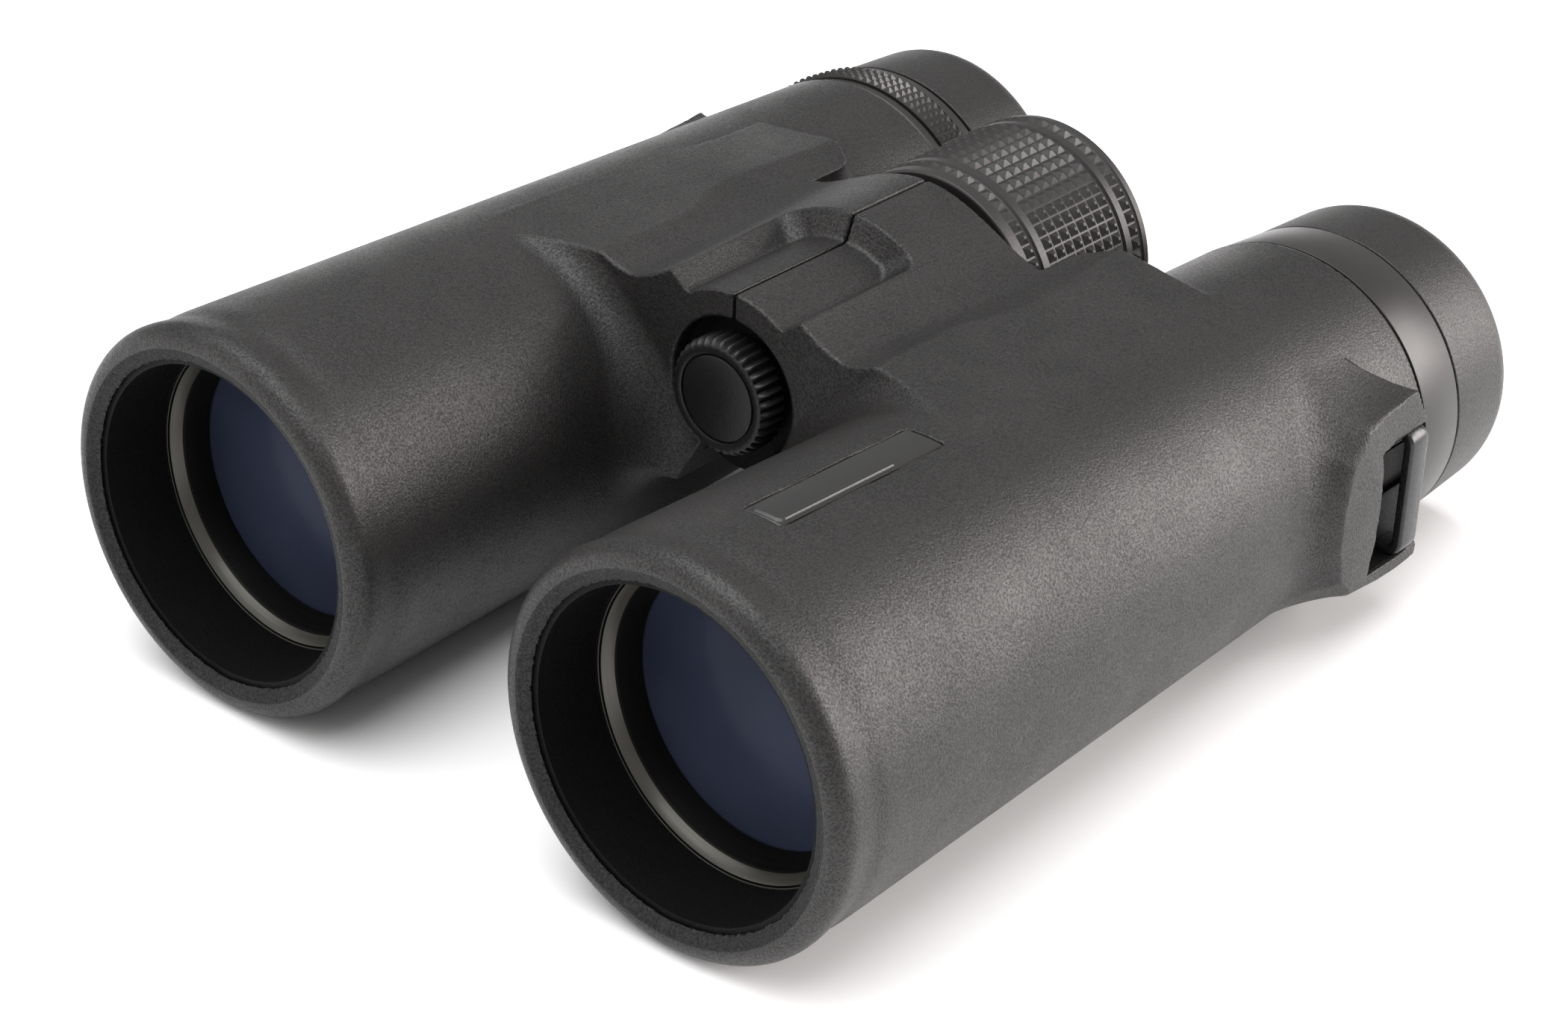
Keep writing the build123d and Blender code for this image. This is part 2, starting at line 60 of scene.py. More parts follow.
lens_low, lens_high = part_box("left_objective_crown_lens")
shaft_low, shaft_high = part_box("hinge_shaft")
FRONT = armour_low.y / MM
HALF_IPD = (lens_low.x + lens_high.x) / 2 / MM
AXIS_HEIGHT = (lens_low.z + lens_high.z) / 2 / MM
HINGE_RISE = (shaft_low.z + shaft_high.z) / 2 / MM - AXIS_HEIGHT
ARMOUR_END = armour_high.y / MM - FRONT
RIM_RADIUS = AXIS_HEIGHT - armour_low.z / MM
END_RADIUS = 22.3               # of the barrel at the rear of the armour
TAPER = (RIM_RADIUS - END_RADIUS) / ARMOUR_END
SIDES = {"left": 1, "right": -1}


def place(points):
    """Barrel-space millimetres to metres in the CAD frame."""
    return (np.asarray(points, float) + (0.0, FRONT, AXIS_HEIGHT)) * MM


def station(node, end):
    """Station of a node's front (0) or rear (1) end."""
    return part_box(node)[end].y / MM - FRONT


# ---------------------------------------------------------------- mesh helpers
def new_piece(name, points, faces, body, material, smooth):
    """Mesh object from points in metres, riding on a body. smooth is the crease angle, degrees."""
    mesh = bpy.data.meshes.new(name)
    mesh.from_pydata([tuple(p) for p in points], [], [tuple(int(i) for i in f) for f in faces])
    mesh.validate()
    mesh.update()
    piece = bpy.data.objects.new(name, mesh)
    bpy.context.scene.collection.objects.link(piece)
    mesh.materials.append(material)
    mesh.polygons.foreach_set("use_smooth", [True] * len(mesh.polygons))
    mesh.set_sharp_from_angle(angle=math.radians(smooth))
    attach(piece, body)
    return piece


def rounded(outline, radii, steps=4):
    """A closed outline with its corners rounded. radii is one number or one per corner."""
    outline = [np.array(p, float) for p in outline]
    count = len(outline)
    if not hasattr(radii, "__len__"):
        radii = [radii] * count
    result = []
    for i, (corner, radius) in enumerate(zip(outline, radii)):
        before, after = outline[i - 1] - corner, outline[(i + 1) % count] - corner
        if radius <= 0:
            result.append(corner)
            continue
        u, v = before / np.linalg.norm(before), after / np.linalg.norm(after)
        turn = math.acos(float(np.clip(u @ v, -1, 1)))
        reach = radius / math.tan(turn / 2)
        reach = min(reach, 0.49 * np.linalg.norm(before), 0.49 * np.linalg.norm(after))
        radius = reach * math.tan(turn / 2)
        bisector = (u + v) / np.linalg.norm(u + v)
        centre = corner + bisector * radius / math.sin(turn / 2)
        first, last = corner + u * reach - centre, corner + v * reach - centre
        sweep = math.pi - turn
        for k in range(steps + 1):
            t = k / steps
            arc = (math.sin((1 - t) * sweep) * first + math.sin(t * sweep) * last) / math.sin(sweep)
            result.append(centre + arc)
    return [tuple(p) for p in result]


def lathe_grid(rings, segments, centre_x, centre_z):
    """Points of rings (radius(angle) array or number, station) about an axis along the barrels."""
    angles = np.arange(segments) * 2 * math.pi / segments
    points = []
    for radius, s in rings:
        radius = np.broadcast_to(radius, angles.shape)
        points.append(np.stack([centre_x + radius * np.cos(angles), np.full(segments, float(s)),
                                centre_z + radius * np.sin(angles)], axis=1))
    return np.concatenate(points)


def lathe_faces(rows, segments, closed):
    """Quads between rings of points; closed joins the last ring to the first."""
    faces = []
    for i in range(rows if closed else rows - 1):
        a, b = i * segments, (i + 1) % rows * segments
        for j in range(segments):
            k = (j + 1) % segments
            faces.append((a + j, a + k, b + k, b + j))
    return faces


def lathe(name, outline, body, material, centre, segments, smooth=30):
    """Closed outline of (radius, station), clockwise with the radius across, turned about an axis."""
    points = lathe_grid(outline, segments, *centre)
    faces = lathe_faces(len(outline), segments, closed=True)
    return new_piece(name, place(points), faces, body, material, smooth)


def dome_lathe(name, outline, body, material, centre, segments, smooth=40):
    """Open outline of (radius, station) whose two ends lie on the axis, as on a lens or a cap."""
    inner = outline[1:-1]
    points = lathe_grid(inner, segments, *centre)
    faces = lathe_faces(len(inner), segments, closed=False)
    first, last = len(points), len(points) + 1
    ends = [(centre[0], outline[0][1], centre[1]), (centre[0], outline[-1][1], centre[1])]
    points = np.concatenate([points, ends])
    base = (len(inner) - 1) * segments
    for j in range(segments):
        k = (j + 1) % segments
        faces.append((first, k, j))
        faces.append((last, base + j, base + k))
    return new_piece(name, place(points), faces, body, material, smooth)


PYRAMID_FOOT, PYRAMID_TOP = 0.07, 0.40      # where a knurl's flank begins and ends, in pitches


def knurled_ring(name, columns, bore, teeth, depth, body, material, centre):
    """Ring with rows of square pyramids. columns is (station, radius, height share) from front
    to rear; bore is the inner outline of (radius, station) from rear to front."""
    shares = [(0.0, 0.0), (PYRAMID_FOOT, 0.0), (PYRAMID_TOP, 1.0), (1 - PYRAMID_TOP, 1.0),
              (1 - PYRAMID_FOOT, 0.0)]
    angles, around = [], []
    for i in range(teeth):
        for offset, share in shares:
            angles.append((i + offset) * 2 * math.pi / teeth)
            around.append(share)
    angles, around = np.array(angles), np.array(around)
    segments = len(angles)
    rings, kinds = [], []
    for s, radius, share in columns:
        rings.append((radius + depth * (np.minimum(share, around) if share is not None else 0), s))
        kinds.append(0.0 if share is None else share)
    for radius, s in bore:
        rings.append((np.full(segments, float(radius)), s))
        kinds.append(0.0)
    points = np.concatenate([np.stack([centre[0] + r * np.cos(angles), np.full(segments, float(s)),
                                       centre[1] + r * np.sin(angles)], axis=1) for r, s in rings])
    faces, rows = [], len(rings)
    for i in range(rows):
        a, b = i * segments, (i + 1) % rows * segments
        step = kinds[(i + 1) % rows] - kinds[i]
        for j in range(segments):
            k = (j + 1) % segments
            rise = around[k] - around[j]
            quad = (a + j, a + k, b + k, b + j)
            if step * rise > 0:
                faces += [(quad[0], quad[1], quad[2]), (quad[0], quad[2], quad[3])]
            elif step * rise < 0:
                faces += [(quad[0], quad[1], quad[3]), (quad[1], quad[2], quad[3])]
            else:
                faces.append(quad)
    return new_piece(name, place(points), faces, body, material, 22)


def pyramid_rows(start, pitch, rows, radius_at):
    """Columns of a knurled ring for a number of pyramid rows."""
    columns = []
    flanks = ((PYRAMID_FOOT, 0.0), (PYRAMID_TOP, 1.0), (1 - PYRAMID_TOP, 1.0), (1 - PYRAMID_FOOT, 0.0))
    for row in range(rows):
        for offset, share in flanks:
            s = start + (row + offset) * pitch
            columns.append((s, radius_at(s), share))
    return columns


# ---------------------------------------------------------------- armour as a distance field
def outer_round(a, b, radius):
    """Common part of two bodies, with the edge between them rounded."""
    corner = np.hypot(np.maximum(a + radius, 0), np.maximum(b + radius, 0))
    return np.minimum(np.maximum(a, b), -radius) + corner


def inner_round(a, b, radius):
    """Both bodies together, with a fillet of a radius where they meet."""
    corner = np.hypot(np.maximum(radius - a, 0), np.maximum(radius - b, 0))
    return np.maximum(np.minimum(a, b), radius) - corner


def ramp(value, start, end):
    """Smooth step from 0 at start to 1 at end."""
    t = np.clip((value - start) / (end - start), 0, 1)
    return t * t * (3 - 2 * t)


def cone_radius(s):
    return RIM_RADIUS - TAPER * s


EDGE = 0.35                     # small rounding of an outer edge
FAR = 50.0                      # a distance that stands for nothing near

# barrel
RIM_ROUND = 2.6
BEAD_AT, BEAD_RISE = 2.6, 0.12  # slight swelling behind the rim
NECK_AT, NECK_DROP = 6.2, 0.22  # shallow neck behind the swelling
BEAD_WIDTH = 1.7
WALL, FLANGE = 1.9, 1.3         # thickness of the tube and of its front flange
MOUTH_RADIUS = 21.14
# chamfer of the mouth: its radius at the very front, its fall per mm, and the share that makes
# the fall a true distance
CHAMFER_RADIUS, CHAMFER_FALL, CHAMFER_SCALE = 23.3, 1.66, 0.516

# bridge deck
BRIDGE_FRONT, BRIDGE_END, DECK_END = 53.7, 91.6, 102.5
BUMP_RADIUS = 17.2              # round of the deck over the hinge
DECK_TOP = 25.0                 # height of the crease along each side of the deck
VALLEY, VALLEY_X = 23.7, 17.0   # lowest part of the deck, beside the round of the hinge
CREASE_X, CREASE_OUT, CREASE_BACK = 22.6, 3.2, 1.6     # it moves out, then back again
CREASE_OUT_SPAN, CREASE_BACK_SPAN = (68, 82), (84, 102)
DECK_BOTTOM = 2.0
WHEEL_ROOM = 22.3               # radius about the hinge that the deck keeps free for the wheel
LEDGE, LEDGE_FALL = 22.0, 0.3   # height of the ledge below the wheel room and its fall per mm

# seam, hinge and focusing arm
SEAM = 0.15                     # half of the gap between the two decks
SEAM_RELIEF = (0.8825, 0.4697)  # across and up: the plane that the fold keeps free
CORE_RADIUS, CORE_FRONT, CORE_END = 12.6, 56.2, 92.6
CAP_WELL, CAP_WELL_END = 9.94, 60.0
WHEEL_WELL, WHEEL_FRONT, WHEEL_END = 17.9, 92.2, 121.8
KNUCKLE_GAP, KNUCKLE_HALF = 0.2, 5.2
FOCUS_ARM = (68.4, 81.0, 2.6)   # first and last station of its pocket and half the width
ARM_START, ARM_END = 10.0, 22.0     # reach of the arm pockets from the hinge

# thumb recess: floor round the hinge, half width at a height, slopes of the walls
RECESS_FLOOR, RECESS_CORNER = 13.7, 2.4
RECESS_HALF, RECESS_HEIGHT, RECESS_SIDE_SLOPE = 7.2, 24.0, 1.28
RECESS_END, RECESS_END_SLOPE = 75.2, 0.4

# strap lug: outlines of (station, height)
LUG_FACE, LUG_END = 62.0, 121.3
LUG_TIP = (117.2, 12.8)
LUG_OUTLINE = [(124.0, 4.5), LUG_TIP, (110.5, 12.0), (105.6, 10.6), (102.5, 7.1), (101.2, 2.4),
               (101.2, -3.2), (102.6, -8.6), (105.1, -11.6), (111.5, -12.5), (124.0, -13.2)]
LUG_FLARE, LUG_FLARE_LOSS = 8.5, 3.5
CREST_NORMAL = (-0.36, 0.827, 0.432)
POCKET_FLOOR = 59.2
POCKET = [(108.6, 7.0), (125.0, 7.6), (125.0, -11.2), (108.6, -11.2)]

PLATE = {"x": 37.8, "half_width": 2.8, "start": 15.7, "end": 44.9}
PLATE_GAP, PLATE_DEPTH = 0.12, 0.6


def polygon_distance(u, v, corners):
    """Signed distance in a plane to a closed polygon, negative inside."""
    best = np.full(u.shape, 1e9)
    inside = np.zeros(u.shape, bool)
    for (u0, v0), (u1, v1) in zip(corners, corners[1:] + corners[:1]):
        eu, ev = u1 - u0, v1 - v0
        t = np.clip(((u - u0) * eu + (v - v0) * ev) / (eu * eu + ev * ev), 0, 1)
        best = np.minimum(best, np.hypot(u - u0 - t * eu, v - v0 - t * ev))
        crosses = (v0 > v) != (v1 > v)
        if v1 != v0:
            inside ^= crosses & (u < u0 + (v - v0) / (v1 - v0) * eu)
    return np.where(inside, -best, best)


def barrel_body(s, around_barrel):
    """Tapered barrel with a rounded rim, a slight bead and a shallow neck behind it."""
    bead = BEAD_RISE * np.exp(-((s - BEAD_AT) / BEAD_WIDTH) ** 2)
    neck = NECK_DROP * np.exp(-((s - NECK_AT) / BEAD_WIDTH) ** 2)
    barrel = outer_round(around_barrel - cone_radius(s) - (bead - neck), -s, RIM_ROUND)
    return outer_round(barrel, s - ARMOUR_END, EDGE)


def barrel_room(s, around_barrel):
    """Inside of the barrel, with the chamfered flange at the front."""
    inside = np.maximum(around_barrel - cone_radius(s) + WALL, FLANGE - s)
    chamfer = (around_barrel - CHAMFER_RADIUS + CHAMFER_FALL * s) * CHAMFER_SCALE
    return np.minimum(inside, np.minimum(around_barrel - MOUTH_RADIUS, chamfer))


def deck_height(x, s):
    """Top of the deck beside the hinge: it rises from the valley to a crease, then runs on
    as a flat shoulder that is tangent to the barrel."""
    crease = CREASE_X + CREASE_OUT * ramp(s, *CREASE_OUT_SPAN) - CREASE_BACK * ramp(s, *CREASE_BACK_SPAN)
    rising = VALLEY + (DECK_TOP - VALLEY) * (np.maximum(x - VALLEY_X, 0) / (crease - VALLEY_X)) ** 2
    reach = np.hypot(HALF_IPD - crease, DECK_TOP)
    tangent = np.arctan2(DECK_TOP, crease - HALF_IPD) - np.arccos(cone_radius(s) / reach)
    shoulder = DECK_TOP - (x - crease) / np.tan(tangent)
    overlap, no_shoulder = 2.0, 99.0
    return rising, np.where(x > crease - overlap, shoulder, no_shoulder)


def deck_top(x, s, z, around_hinge):
    """Everything below the top of the deck: the round of the hinge, the rise and the shoulder."""
    rising, shoulder = deck_height(x, s)
    narrow, widening = 3.8, 2.6
    top = inner_round(around_hinge - BUMP_RADIUS, z - rising, narrow + widening * ramp(s, 58, 90))
    return outer_round(top, z - shoulder, 0.25)


def deck_body(x, s, z, around_hinge):
    """Half of the bridge, cut back round the focus wheel down to a sloping ledge."""
    root, wheel_edge, front_edge, rear_round, ledge_round = 5.0, 0.6, 0.3, 6.0, 3.0
    slab = np.maximum(DECK_BOTTOM - z, x - HALF_IPD)
    deck = inner_round(around_hinge - BUMP_RADIUS, slab, root)
    ledge = LEDGE - LEDGE_FALL * (s - BRIDGE_END)
    wheel_room = np.maximum(np.maximum(around_hinge - WHEEL_ROOM, BRIDGE_END - s), ledge - z)
    deck = outer_round(deck, -wheel_room, wheel_edge)
    deck = outer_round(deck, BRIDGE_FRONT - s, front_edge)
    rear = outer_round(s - DECK_END, WHEEL_ROOM - around_hinge, rear_round)
    rear = np.minimum(rear, outer_round(z - ledge, s - DECK_END + 1.0, ledge_round))
    return np.maximum(deck, np.where(s > BRIDGE_END, rear, -5.0))


def bridge_fillet(s, z, around_hinge):
    """Radius between deck and barrel: larger below, small at the rear, large beside the wheel."""
    above, more_below, less_behind, beside_wheel = 4.5, 4.5, 3.8, 8.5
    fillet = above + more_below * ramp(20 - z, 0, 18) - less_behind * ramp(s, 78, 96)
    return fillet + beside_wheel * ramp(s, 86, 92) * ramp(26.5 - around_hinge, 0, 3.5)


def strap_lug(x, s, z, barrel):
    """Flat pad that flares smoothly into the barrel, cut off behind its top crest."""
    pad = np.maximum(polygon_distance(s, z, LUG_OUTLINE), x - LUG_FACE)
    pad = np.maximum(pad, HALF_IPD - x)
    pad = outer_round(pad, x - LUG_FACE, EDGE)
    flared = inner_round(pad, barrel, LUG_FLARE - LUG_FLARE_LOSS * ramp(s + 0.5 * z, 108, 120))
    across, along, upward = CREST_NORMAL
    crest = across * (x - LUG_FACE) + along * (s - LUG_TIP[0]) + upward * (z - LUG_TIP[1])
    flared = outer_round(flared, crest, EDGE)
    flared = outer_round(flared, s - LUG_END, EDGE)
    return np.where(x > HALF_IPD, flared, FAR)


def thumb_recess(x, s, z, around_hinge):
    """Hollow with sloping sides, a steeper end wall and rounded corners in plan."""
    side_wall = np.abs(x) - RECESS_HALF - (z - RECESS_HEIGHT) * RECESS_SIDE_SLOPE
    end_wall = s - RECESS_END - (around_hinge - RECESS_FLOOR) * RECESS_END_SLOPE
    walls = outer_round(side_wall / math.hypot(1, RECESS_SIDE_SLOPE),
                        end_wall / math.hypot(1, RECESS_END_SLOPE), RECESS_CORNER)
    return outer_round(walls, RECESS_FLOOR - around_hinge, 0.5)


def cut_hinge(body, x, s, up, around_hinge):
    """Takes away the seam, the hinge core, the cap well and the room of the focus wheel."""
    relief = SEAM_RELIEF[0] * x + SEAM_RELIEF[1] * up
    body = outer_round(body, np.maximum(SEAM - x, -relief), 0.22)
    well = np.maximum(around_hinge - CAP_WELL, s - CAP_WELL_END)
    core = np.maximum(around_hinge - CORE_RADIUS, np.maximum(CORE_FRONT - s, s - CORE_END))
    body = outer_round(body, -np.minimum(well, core), 0.5)
    wheel = np.maximum(around_hinge - WHEEL_WELL, np.maximum(WHEEL_FRONT - s, s - WHEEL_END))
    return outer_round(body, -wheel, EDGE)


def cut_arm_pockets(body, x, s, up, knuckles):
    """Takes away the pockets for the hinge arms and the focusing arm."""
    span = math.hypot(HALF_IPD, HINGE_RISE)
    toward = (x * HALF_IPD - up * HINGE_RISE) / span
    aside = (x * HINGE_RISE + up * HALF_IPD) / span
    hinge_arms = [(start - KNUCKLE_GAP, end + KNUCKLE_GAP, KNUCKLE_HALF) for start, end in knuckles]
    for start, end, half in hinge_arms + [FOCUS_ARM]:
        arm = np.maximum(np.abs(aside) - half, np.maximum(start - s, s - end))
        arm = np.maximum(arm, np.maximum(ARM_START - toward, toward - ARM_END))
        body = np.maximum(body, -arm)
    return body


def plate_pocket(x, s, z, around_barrel):
    """Shallow pocket for the nameplate on top of the barrel."""
    middle, half = (PLATE["start"] + PLATE["end"]) / 2, (PLATE["end"] - PLATE["start"]) / 2
    sunk = outer_round(np.abs(x - PLATE["x"]) - PLATE["half_width"] - PLATE_GAP,
                       np.abs(s - middle) - half - PLATE_GAP, 0.5)
    sunk = np.maximum(sunk, cone_radius(s) - PLATE_DEPTH - around_barrel)
    return np.maximum(sunk, -z)


def armour_field(points, knuckles, plate):
    """Distance field of one armour shell. x is counted outward from the middle plane."""
    x, s, z = points[:, 0], points[:, 1], points[:, 2]
    up = z - HINGE_RISE
    around_barrel = np.hypot(x - HALF_IPD, z)
    around_hinge = np.hypot(x, up)

    barrel = barrel_body(s, around_barrel)
    deck = deck_body(x, s, z, around_hinge)
    body = inner_round(deck, barrel, bridge_fillet(s, z, around_hinge))
    body = np.minimum(outer_round(body, deck_top(x, s, z, around_hinge), 0.4), barrel)
    body = np.minimum(body, strap_lug(x, s, z, barrel))
    pocket = np.maximum(polygon_distance(s, z, POCKET), POCKET_FLOOR - x)
    body = outer_round(body, -pocket, 0.3)
    body = outer_round(body, -thumb_recess(x, s, z, around_hinge), 0.25)
    body = cut_hinge(body, x, s, up, around_hinge)
    body = np.maximum(body, -barrel_room(s, around_barrel))
    body = cut_arm_pockets(body, x, s, up, knuckles)
    if plate:
        body = outer_round(body, -plate_pocket(x, s, z, around_barrel), 0.2)
    return body


def sample(field, points, chunk=400000):
    return np.concatenate([field(points[i:i + chunk]) for i in range(0, len(points), chunk)])


def slopes(field, points, step=0.02):
    """Gradient of a field at points."""
    result = np.empty_like(points)
    for axis in range(3):
        offset = np.zeros(3)
        offset[axis] = step
        result[:, axis] = (sample(field, points + offset) - sample(field, points - offset)) / (2 * step)
    return result


def grid_values(field, axes, block=6):
    """Field on a grid; blocks of grid points that are far from the surface are only filled in."""
    starts = [np.arange(0, len(a), block) for a in axes]
    lows = [a[i] for a, i in zip(axes, starts)]
    highs = [a[np.minimum(i + block, len(a)) - 1] for a, i in zip(axes, starts)]
    low = np.stack(np.meshgrid(*lows, indexing="ij"), axis=-1).reshape(-1, 3)
    high = np.stack(np.meshgrid(*highs, indexing="ij"), axis=-1).reshape(-1, 3)
    middle = sample(field, (low + high) / 2)
    near = np.abs(middle) < np.linalg.norm(high - low, axis=1) * 0.75 + 0.8
    shape = tuple(len(a) for a in axes)
    blocks = tuple(len(s) for s in starts)
    wide = [np.repeat(np.arange(len(s)), block)[:len(a)] for s, a in zip(starts, axes)]
    values = middle.reshape(blocks)[np.ix_(*wide)]
    chosen = np.argwhere(near.reshape(blocks)[np.ix_(*wide)])
    points = np.stack([axes[k][chosen[:, k]] for k in range(3)], axis=1)
    values[tuple(chosen.T)] = sample(field, points)
    return values.reshape(shape)


def surface_net(field, axes):
    """Quads on the zero surface of a field, from a grid with the given lines along each axis."""
    shape = tuple(len(a) for a in axes)
    values = grid_values(field, axes)
    inside = values < 0
    cells = tuple(n - 1 for n in shape)
    count = np.zeros(cells, np.int8)
    for offset in product((0, 1), repeat=3):
        count += inside[tuple(slice(o, o + n) for o, n in zip(offset, cells))]
    active = (count > 0) & (count < 8)
    number = np.full(cells, -1, np.int64)
    corner = np.argwhere(active)
    number[active] = np.arange(len(corner))
    total, weight = np.zeros((len(corner), 3)), np.zeros(len(corner))
    for axis in range(3):
        others = [a for a in range(3) if a != axis]
        for shift in product((0, 1), repeat=2):
            low = corner.copy()
            low[:, others[0]] += shift[0]
            low[:, others[1]] += shift[1]
            high = low.copy()
            high[:, axis] += 1
            a, b = values[tuple(low.T)], values[tuple(high.T)]
            crossed = (a < 0) != (b < 0)
            t = np.where(crossed, a / np.where(crossed, a - b, 1), 0)
            for k in range(3):
                p, q = axes[k][low[:, k]], axes[k][high[:, k]]
                total[:, k] += np.where(crossed, p + t * (q - p), 0)
            weight += crossed
    points = total / weight[:, None]
    quads = []
    for axis in range(3):
        u, v = (axis + 1) % 3, (axis + 2) % 3
        low = tuple(slice(0, n - 1) if k == axis else slice(1, n - 1) for k, n in enumerate(shape))
        high = tuple(slice(1, n) if k == axis else slice(1, n - 1) for k, n in enumerate(shape))
        a, b = inside[low], inside[high]
        for leaving in (True, False):
            edge = np.argwhere((a & ~b) if leaving else (~a & b))
            edge[:, u] += 1
            edge[:, v] += 1
            ring = []
            for du, dv in ((-1, -1), (0, -1), (0, 0), (-1, 0)):
                cell = edge.copy()
                cell[:, u] += du
                cell[:, v] += dv
                ring.append(number[tuple(cell.T)])
            quads.append(np.stack(ring if leaving else ring[::-1], axis=1))
    return points, np.concatenate(quads)


def settle(field, points, reach, rounds=4):
    """Moves points onto the zero surface of the field."""
    for _ in range(rounds):
        g = slopes(field, points)
        size = np.maximum((g * g).sum(axis=1), 0.05)
        step = sample(field, points) / size
        points = points - g * np.clip(step, -reach, reach)[:, None]
    return points


GRID_ACROSS, GRID_UP = (-0.9, 65.6), (-27.6, 31.8)
RIM_LINES = np.arange(-0.9, 8.0, 0.45)      # stations: fine at the rim, coarse along the plain barrel
BARREL_LINES = np.arange(8.1, 48.0, 0.9)
BRIDGE_RANGE = (48.3, 125.0)


def shell_mesh(name, points, quads, normals):
    """Smooth quad mesh with the given normals."""
    mesh = bpy.data.meshes.new(name)
    mesh.vertices.add(len(points))
    mesh.vertices.foreach_set("co", place(points).astype(np.float32).ravel())
    mesh.loops.add(quads.size)
    mesh.loops.foreach_set("vertex_index", quads.astype(np.int32).ravel())
    mesh.polygons.add(len(quads))
    mesh.polygons.foreach_set("loop_start", np.arange(0, quads.size, 4, dtype=np.int32))
    mesh.polygons.foreach_set("use_smooth", np.ones(len(quads), bool))
    mesh.update(calc_edges=True)
    mesh.normals_split_custom_set_from_vertices([tuple(n) for n in normals])
    return mesh


def build_armour(half, side, knuckles, plate):
    """Armour shell of one half as a fine mesh with exact normals, with painted shade inside the lug
    pocket: its faces take the near-black cast material.
    """
    pitch = 0.45
    field = lambda points: armour_field(points, knuckles, plate)
    axes = [np.arange(*GRID_ACROSS, pitch),
            np.concatenate([RIM_LINES, BARREL_LINES, np.arange(*BRIDGE_RANGE, pitch)]),
            np.arange(*GRID_UP, pitch)]
    points, quads = surface_net(field, axes)
    points = settle(field, points, pitch)
    normals = slopes(field, points, 0.04)
    normals /= np.maximum(np.linalg.norm(normals, axis=1), 1e-9)[:, None]
    if side < 0:
        points, normals, quads = points * (-1, 1, 1), normals * (-1, 1, 1), quads[:, ::-1]
    name = f"{half}_armour_shell"
    mesh = shell_mesh(name, points, quads, normals)
    piece = bpy.data.objects.new(name, mesh)
    bpy.context.scene.collection.objects.link(piece)
    mesh.materials.append(SLOTS["armour_rubber"])
    mesh.materials.append(SLOTS["cast_black"])
    # painted shade: the faces inside the lug pocket take the near-black cast material instead of the
    # rubber
    middle = points[quads].mean(axis=1) * (side, 1, 1)
    pocket = polygon_distance(middle[:, 1], middle[:, 2], POCKET) < 0.15
    pocket &= (middle[:, 0] > POCKET_FLOOR - 0.5) & (middle[:, 0] < LUG_FACE - 0.25)
    mesh.polygons.foreach_set("material_index", pocket.astype(np.int32))
    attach(piece, f"{half}_half")
    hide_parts(f"{half}_armour")


# ---------------------------------------------------------------- materials
def material_tree(name):
    material = bpy.data.materials.new(name)
    material.use_nodes = True
    tree = material.node_tree
    shader = next(n for n in tree.nodes if n.type == "BSDF_PRINCIPLED")
    place_node = tree.nodes.new("ShaderNodeTexCoord")
    return material, tree, shader, place_node.outputs["Object"]


def noise(tree, position, scale, detail, roughness):
    node = tree.nodes.new("ShaderNodeTexNoise")
    node.inputs["Scale"].default_value = scale
    node.inputs["Detail"].default_value = detail
    node.inputs["Roughness"].default_value = roughness
    tree.links.new(position, node.inputs["Vector"])
    return node.outputs["Fac"]


def spread(tree, value, low, high, start=0.3, end=0.7):
    node = tree.nodes.new("ShaderNodeMapRange")
    for key, number in (("From Min", start), ("From Max", end), ("To Min", low), ("To Max", high)):
        node.inputs[key].default_value = number
    tree.links.new(value, node.inputs["Value"])
    return node.outputs["Result"]


def tint(tree, value, dark, light, start=0.3, end=0.7):
    node = tree.nodes.new("ShaderNodeValToRGB")
    node.color_ramp.elements[0].position = start
    node.color_ramp.elements[1].position = end
    node.color_ramp.elements[0].color = (*dark, 1)
    node.color_ramp.elements[1].color = (*light, 1)
    tree.links.new(value, node.inputs["Fac"])
    return node.outputs["Color"]


def math_node(tree, operation, first, second=None):
    node = tree.nodes.new("ShaderNodeMath")
    node.operation = operation
    for socket, value in zip(node.inputs, (first, second)):
        if isinstance(value, (int, float)):
            socket.default_value = value
        elif value is not None:
            tree.links.new(value, socket)
    return node.outputs[0]


def bump(tree, shader, height, distance):
    node = tree.nodes.new("ShaderNodeBump")
    node.inputs["Strength"].default_value = 1.0
    node.inputs["Distance"].default_value = distance
    tree.links.new(height, node.inputs["Height"])
    tree.links.new(node.outputs["Normal"], shader.inputs["Normal"])


FINE_SHARE, BROAD_SHARE = 0.6, 0.4      # of the fine grain and of the broad blotches


def grained(name, dark, light, rough, grain, depth, blotch=60.0, metallic=0.0, specular=0.5,
            sparkle=0.0):
    """A surface with fine grain: mottled colour, uneven gloss and a bump of the grain's size.
    sparkle is how much more or less than the mean a grain mirrors, as a share."""
    material, tree, shader, position = material_tree(name)
    fine = noise(tree, position, grain, 4.0, 0.6)
    broad = noise(tree, position, blotch, 3.0, 0.55)
    mixed = math_node(tree, "ADD", spread(tree, fine, 0.0, FINE_SHARE, 0.38, 0.62),
                      spread(tree, broad, 0.0, BROAD_SHARE))
    tree.links.new(tint(tree, mixed, dark, light, 0.1, 0.9), shader.inputs["Base Color"])
    tree.links.new(spread(tree, mixed, rough[1], rough[0], 0.1, 0.9), shader.inputs["Roughness"])
    shader.inputs["Metallic"].default_value = metallic
    shader.inputs["Specular IOR Level"].default_value = specular * (1 + sparkle)
    if sparkle:
        least = (1 - sparkle) / (1 + sparkle)
        tree.links.new(tint(tree, fine, (least, least, least), (1, 1, 1), 0.36, 0.64),
                       shader.inputs["Specular Tint"])
    bump(tree, shader, fine, depth)
    return material


